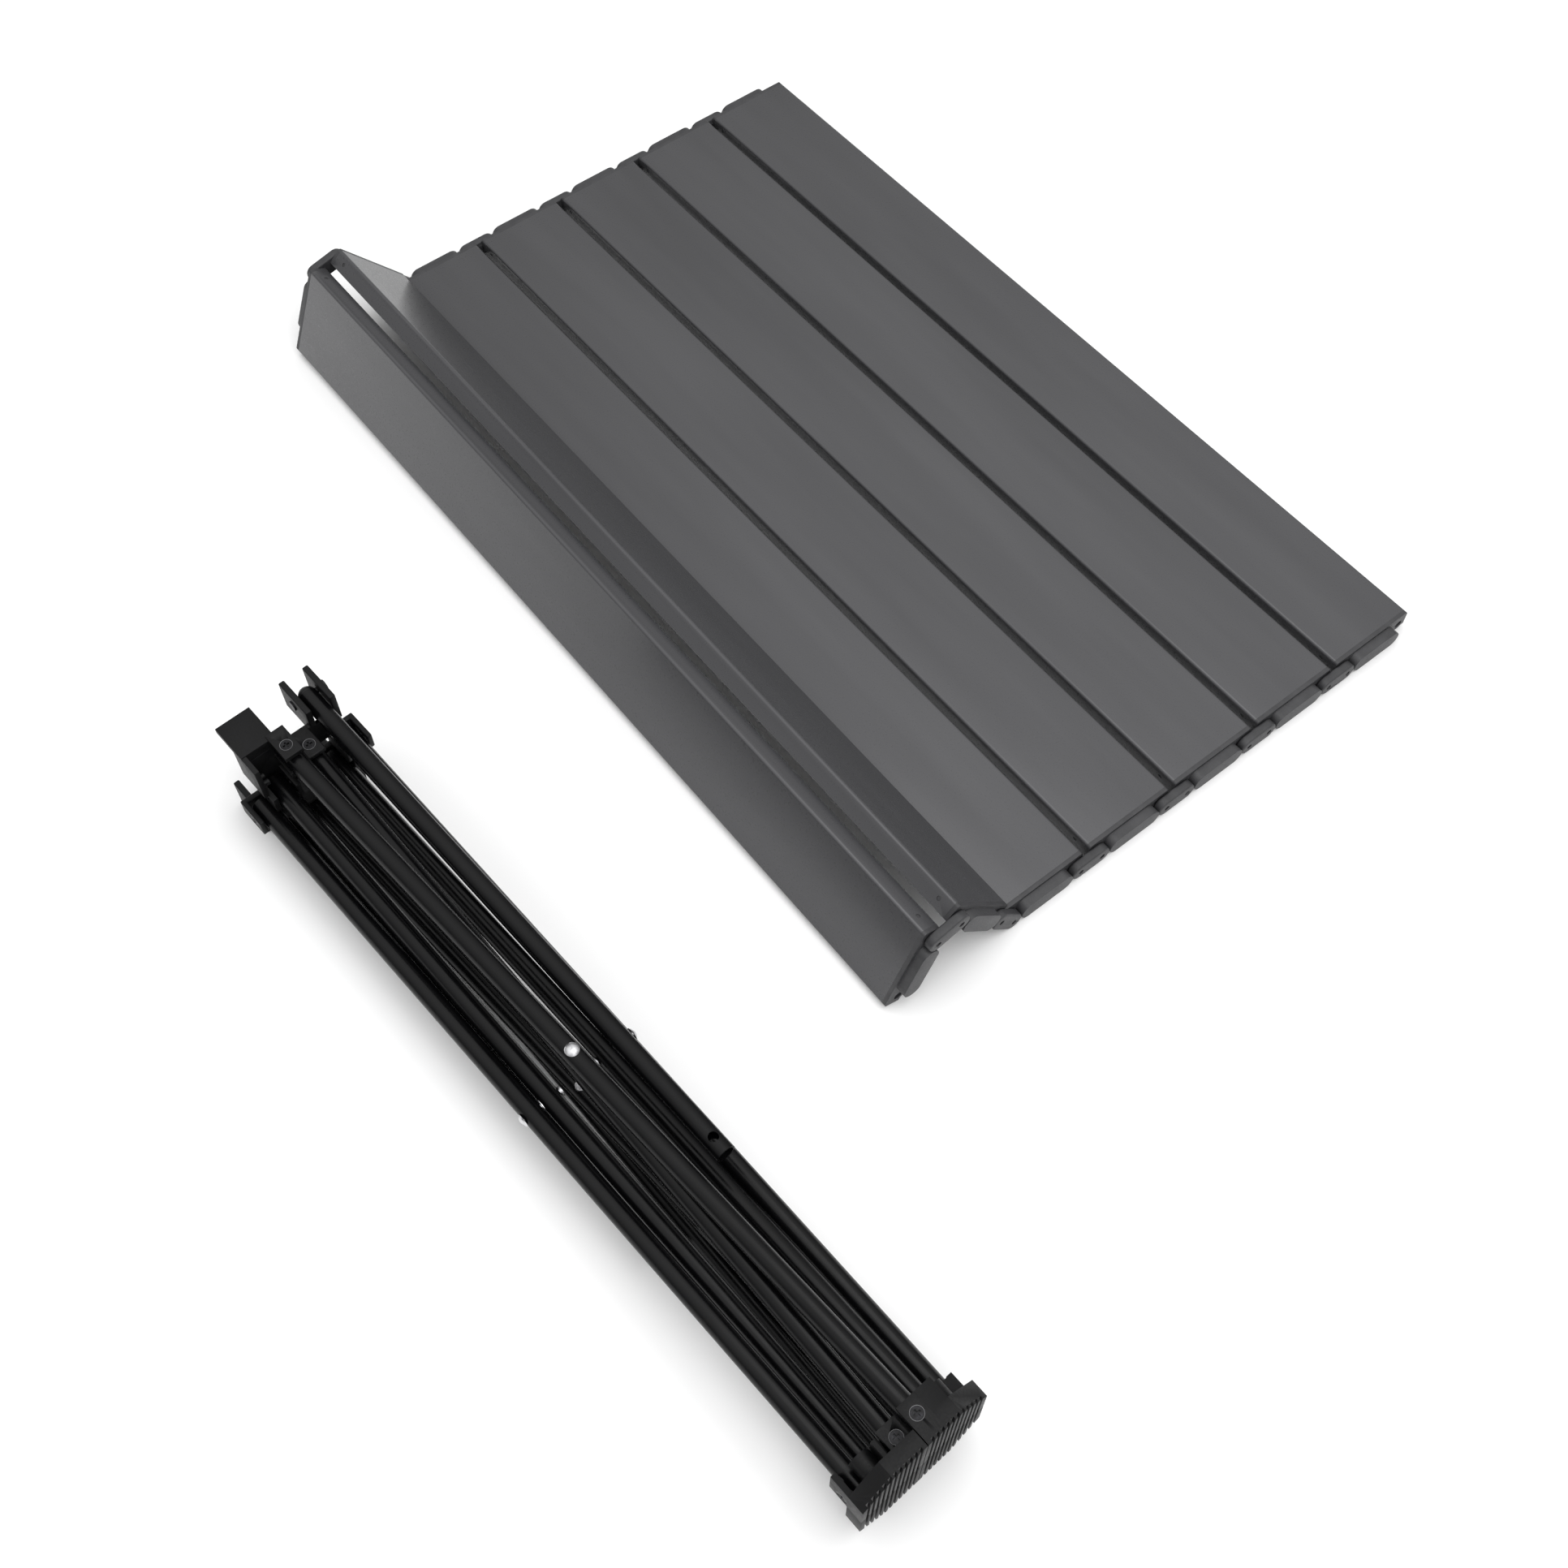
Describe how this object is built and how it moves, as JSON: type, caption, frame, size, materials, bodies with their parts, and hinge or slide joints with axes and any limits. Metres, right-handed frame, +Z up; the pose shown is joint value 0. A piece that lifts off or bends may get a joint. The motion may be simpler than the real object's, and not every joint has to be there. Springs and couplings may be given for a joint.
{
  "type": "roll top camp table",
  "caption": "Low camp table with a roll-up slatted aluminium top lying beside its folded crossed-tube steel frame.",
  "frame": {"origin": "middle of the whole layout's box, on the floor", "axes": "+X along the slats, +Y across them towards the free flat slat, +Z up"},
  "size_m": [0.9348, 0.7132, 0.0886],
  "materials": {
    "slat_aluminium": "satin grey coat on an aluminium channel",
    "cap_plastic": "dark grey moulded plastic",
    "link_plastic": "dark grey moulded plastic",
    "foot_plastic": "black moulded plastic",
    "bracket_plastic": "black moulded plastic",
    "tube_black": "black satin coat on steel tube",
    "cap_black": "black moulded plastic",
    "pin_black": "black steel",
    "screw_steel": "black steel, satin",
    "rivet_steel": "bright steel"
  },
  "bodies": {
    "slat1": {"slat_1": "slat_aluminium", "end_caps_1": "cap_plastic"},
    "slat2": {"slat_2": "slat_aluminium", "end_caps_2": "cap_plastic"},
    "slat3": {"slat_3": "slat_aluminium", "end_caps_3": "cap_plastic"},
    "slat4": {"slat_4": "slat_aluminium", "end_caps_4": "cap_plastic"},
    "slat5": {"slat_5": "slat_aluminium", "end_caps_5": "cap_plastic"},
    "slat6": {"slat_6": "slat_aluminium", "end_caps_6": "cap_plastic"},
    "slat7": {"slat_7": "slat_aluminium", "end_caps_7": "cap_plastic"},
    "link12": {"hinge_links_1_2": "link_plastic"},
    "link23": {"hinge_links_2_3": "link_plastic"},
    "link34": {"hinge_links_3_4": "link_plastic"},
    "link45": {"hinge_links_4_5": "link_plastic"},
    "link56": {"hinge_links_5_6": "link_plastic"},
    "link67": {"hinge_links_6_7": "link_plastic"},
    "foot0": {"foot_0": "foot_plastic", "foot_screws_0": "screw_steel"},
    "foot1": {"foot_1": "foot_plastic", "foot_screws_1": "screw_steel"},
    "foot2": {"foot_2": "foot_plastic", "foot_screws_2": "screw_steel"},
    "foot3": {"foot_3": "foot_plastic", "foot_screws_3": "screw_steel"},
    "bracket0": {"corner_bracket_0": "bracket_plastic", "bracket_screws_0": "screw_steel"},
    "bracket1": {"corner_bracket_1": "bracket_plastic", "bracket_screws_1": "screw_steel", "rail_pin_1": "pin_black"},
    "bracket2": {"corner_bracket_2": "bracket_plastic", "bracket_screws_2": "screw_steel"},
    "bracket3": {"corner_bracket_3": "bracket_plastic", "bracket_screws_3": "screw_steel", "rail_pin_3": "pin_black"},
    "tube_a0": {"leg_tube_a0": "tube_black"},
    "tube_b0": {"leg_tube_b0": "tube_black", "centre_rivet_0": "rivet_steel"},
    "tube_a1": {"leg_tube_a1": "tube_black"},
    "tube_b1": {"leg_tube_b1": "tube_black", "centre_rivet_1": "rivet_steel"},
    "tube_a2": {"leg_tube_a2": "tube_black"},
    "tube_b2": {"leg_tube_b2": "tube_black", "centre_rivet_2": "rivet_steel"},
    "tube_a3": {"leg_tube_a3": "tube_black"},
    "tube_b3": {"leg_tube_b3": "tube_black", "centre_rivet_3": "rivet_steel"},
    "rail1": {"rail_1": "tube_black", "rail_cap_1": "cap_black"},
    "rail3": {"rail_3": "tube_black", "rail_cap_3": "cap_black"}
  },
  "joints": [
    {"name": "top_lift", "type": "slide", "parent": "foot0", "child": "slat5", "axis": [0, 0, 1], "range_m": [0, 0.17249]},
    {"name": "roll_5", "type": "hinge", "parent": "slat5", "child": "link45", "pos_m": [-0.11071, 0.04408, 0.00675], "axis": [-1, 0, 0], "range_deg": [0, 25.72]},
    {"name": "roll_4", "type": "hinge", "parent": "link45", "child": "slat4", "pos_m": [-0.11071, 0.06258, 0.00675], "axis": [-1, 0, 0], "range_deg": [0, 25.72]},
    {"name": "roll_link_3", "type": "hinge", "parent": "slat4", "child": "link34", "pos_m": [-0.11071, 0.12058, 0.00675], "axis": [-1, 0, 0], "range_deg": [0, 25.72]},
    {"name": "roll_3", "type": "hinge", "parent": "link34", "child": "slat3", "pos_m": [-0.11071, 0.13908, 0.00675], "axis": [-1, 0, 0], "range_deg": [0, 25.72]},
    {"name": "roll_link_2", "type": "hinge", "parent": "slat3", "child": "link23", "pos_m": [-0.11071, 0.19708, 0.00675], "axis": [-1, 0, 0], "range_deg": [0, 25.72]},
    {"name": "roll_2", "type": "hinge", "parent": "link23", "child": "slat2", "pos_m": [-0.11071, 0.21558, 0.00675], "axis": [-1, 0, 0], "range_deg": [0, 25.72]},
    {"name": "roll_link_1", "type": "hinge", "parent": "slat2", "child": "link12", "pos_m": [-0.11071, 0.27358, 0.00675], "axis": [-1, 0, 0], "range_deg": [0, 25.72]},
    {"name": "roll_1", "type": "hinge", "parent": "link12", "child": "slat1", "pos_m": [-0.11071, 0.29208, 0.00675], "axis": [-1, 0, 0], "range_deg": [0, 25.72]},
    {"name": "lay_flat", "type": "hinge", "parent": "slat5", "child": "link56", "pos_m": [-0.11071, -0.01392, 0.00675], "axis": [-1, 0, 0], "range_deg": [-49.53, 0]},
    {"name": "roll_6", "type": "hinge", "parent": "link56", "child": "slat6", "pos_m": [-0.11071, -0.02593, 0.02082], "axis": [1, 0, 0], "range_deg": [0, 100.97]},
    {"name": "flat_link_7", "type": "hinge", "parent": "slat6", "child": "link67", "pos_m": [-0.11071, -0.06357, 0.06495], "axis": [-1, 0, 0], "range_deg": [-0.01, 62.51]},
    {"name": "flat_7", "type": "hinge", "parent": "link67", "child": "slat7", "pos_m": [-0.11071, -0.0816, 0.06079], "axis": [-1, 0, 0], "range_deg": [-0.01, 53.91]},
    {"name": "frame_fold", "type": "hinge", "parent": "foot0", "child": "tube_b0", "pos_m": [0.44908, -0.27409, 0.0239], "axis": [0, 0, 1], "range_deg": [0, 37.58]},
    {"name": "cross_0", "type": "hinge", "parent": "tube_b0", "child": "tube_a0", "pos_m": [0.17498, -0.29622, 0.0171], "axis": [0, 0, -1], "range_deg": [0, 75.18]},
    {"name": "foot_turn_a0", "type": "hinge", "parent": "tube_a0", "child": "foot1", "pos_m": [0.44984, -0.28767, 0.0103], "axis": [0, 0, 1], "range_deg": [0, 37.59]},
    {"name": "bracket_turn_1", "type": "hinge", "parent": "tube_b0", "child": "bracket1", "pos_m": [-0.09913, -0.31836, 0.0239], "axis": [0, 0, -1], "range_deg": [0, 37.59]},
    {"name": "foot_turn_b1", "type": "hinge", "parent": "foot1", "child": "tube_b1", "pos_m": [0.4506, -0.30124, 0.0375], "axis": [-0.0558, 0.9984, 0], "range_deg": [0, 37.59]},
    {"name": "cross_1", "type": "hinge", "parent": "tube_b1", "child": "tube_a1", "pos_m": [0.17649, -0.32338, 0.0443], "axis": [0.0558, -0.9984, 0], "range_deg": [0, 75.18]},
    {"name": "foot_turn_a1", "type": "hinge", "parent": "tube_a1", "child": "foot2", "pos_m": [0.45136, -0.31482, 0.0511], "axis": [-0.0558, 0.9984, 0], "range_deg": [0, 37.59]},
    {"name": "bracket_turn_2", "type": "hinge", "parent": "tube_b1", "child": "bracket2", "pos_m": [-0.09837, -0.33194, 0.0511], "axis": [0.0558, -0.9984, 0], "range_deg": [0, 37.59]},
    {"name": "foot_turn_b2", "type": "hinge", "parent": "foot2", "child": "tube_b2", "pos_m": [0.44984, -0.28767, 0.0647], "axis": [0, 0, -1], "range_deg": [0, 37.59]},
    {"name": "cross_2", "type": "hinge", "parent": "tube_b2", "child": "tube_a2", "pos_m": [0.17498, -0.29622, 0.0715], "axis": [0, 0, 1], "range_deg": [0, 75.18]},
    {"name": "foot_turn_a2", "type": "hinge", "parent": "tube_a2", "child": "foot3", "pos_m": [0.44908, -0.27409, 0.0783], "axis": [0, 0, -1], "range_deg": [0, 37.59]},
    {"name": "bracket_turn_3", "type": "hinge", "parent": "tube_b2", "child": "bracket3", "pos_m": [-0.09989, -0.30478, 0.0647], "axis": [0, 0, 1], "range_deg": [0, 37.59]},
    {"name": "foot_turn_b3", "type": "hinge", "parent": "foot3", "child": "tube_b3", "pos_m": [0.44832, -0.26051, 0.0511], "axis": [0.0558, -0.9984, 0], "range_deg": [0, 37.59]},
    {"name": "cross_3", "type": "hinge", "parent": "tube_b3", "child": "tube_a3", "pos_m": [0.17346, -0.26906, 0.0443], "axis": [-0.0558, 0.9984, 0], "range_deg": [0, 75.18]},
    {"name": "bracket_turn_0", "type": "hinge", "parent": "tube_b3", "child": "bracket0", "pos_m": [-0.10065, -0.2912, 0.0375], "axis": [-0.0558, 0.9984, 0], "range_deg": [0, 37.59]},
    {"name": "rail_swing_1", "type": "hinge", "parent": "bracket1", "child": "rail1", "pos_m": [-0.12552, -0.33906, 0.0093], "axis": [-0.0558, 0.9984, 0], "range_deg": [0, 270.02]},
    {"name": "rail_swing_3", "type": "hinge", "parent": "bracket3", "child": "rail3", "pos_m": [-0.12842, -0.28714, 0.0793], "axis": [0.0558, -0.9984, 0], "range_deg": [0, 270.02]}
  ],
  "couplings": [
    {"joint": "roll_5", "follows": "top_lift", "rad_per_m": 2.6019},
    {"joint": "roll_4", "follows": "top_lift", "rad_per_m": 2.6019},
    {"joint": "roll_link_3", "follows": "top_lift", "rad_per_m": 2.6019},
    {"joint": "roll_3", "follows": "top_lift", "rad_per_m": 2.6019},
    {"joint": "roll_link_2", "follows": "top_lift", "rad_per_m": 2.6019},
    {"joint": "roll_2", "follows": "top_lift", "rad_per_m": 2.6019},
    {"joint": "roll_link_1", "follows": "top_lift", "rad_per_m": 2.6019},
    {"joint": "roll_1", "follows": "top_lift", "rad_per_m": 2.6019},
    {"joint": "roll_6", "follows": "top_lift", "rad_per_m": 10.215},
    {"joint": "flat_link_7", "follows": "lay_flat", "ratio": -1.2619},
    {"joint": "flat_7", "follows": "lay_flat", "ratio": -1.0882},
    {"joint": "cross_0", "follows": "frame_fold", "ratio": 2},
    {"joint": "foot_turn_a0", "follows": "frame_fold", "ratio": 1},
    {"joint": "bracket_turn_1", "follows": "frame_fold", "ratio": 1},
    {"joint": "foot_turn_b1", "follows": "frame_fold", "ratio": 1},
    {"joint": "cross_1", "follows": "frame_fold", "ratio": 2},
    {"joint": "foot_turn_a1", "follows": "frame_fold", "ratio": 1},
    {"joint": "bracket_turn_2", "follows": "frame_fold", "ratio": 1},
    {"joint": "foot_turn_b2", "follows": "frame_fold", "ratio": 1},
    {"joint": "cross_2", "follows": "frame_fold", "ratio": 2},
    {"joint": "foot_turn_a2", "follows": "frame_fold", "ratio": 1},
    {"joint": "bracket_turn_3", "follows": "frame_fold", "ratio": 1},
    {"joint": "foot_turn_b3", "follows": "frame_fold", "ratio": 1},
    {"joint": "cross_3", "follows": "frame_fold", "ratio": 2},
    {"joint": "bracket_turn_0", "follows": "frame_fold", "ratio": 1},
    {"joint": "rail_swing_1", "follows": "frame_fold", "ratio": 7.1847},
    {"joint": "rail_swing_3", "follows": "frame_fold", "ratio": 7.1847}
  ]
}
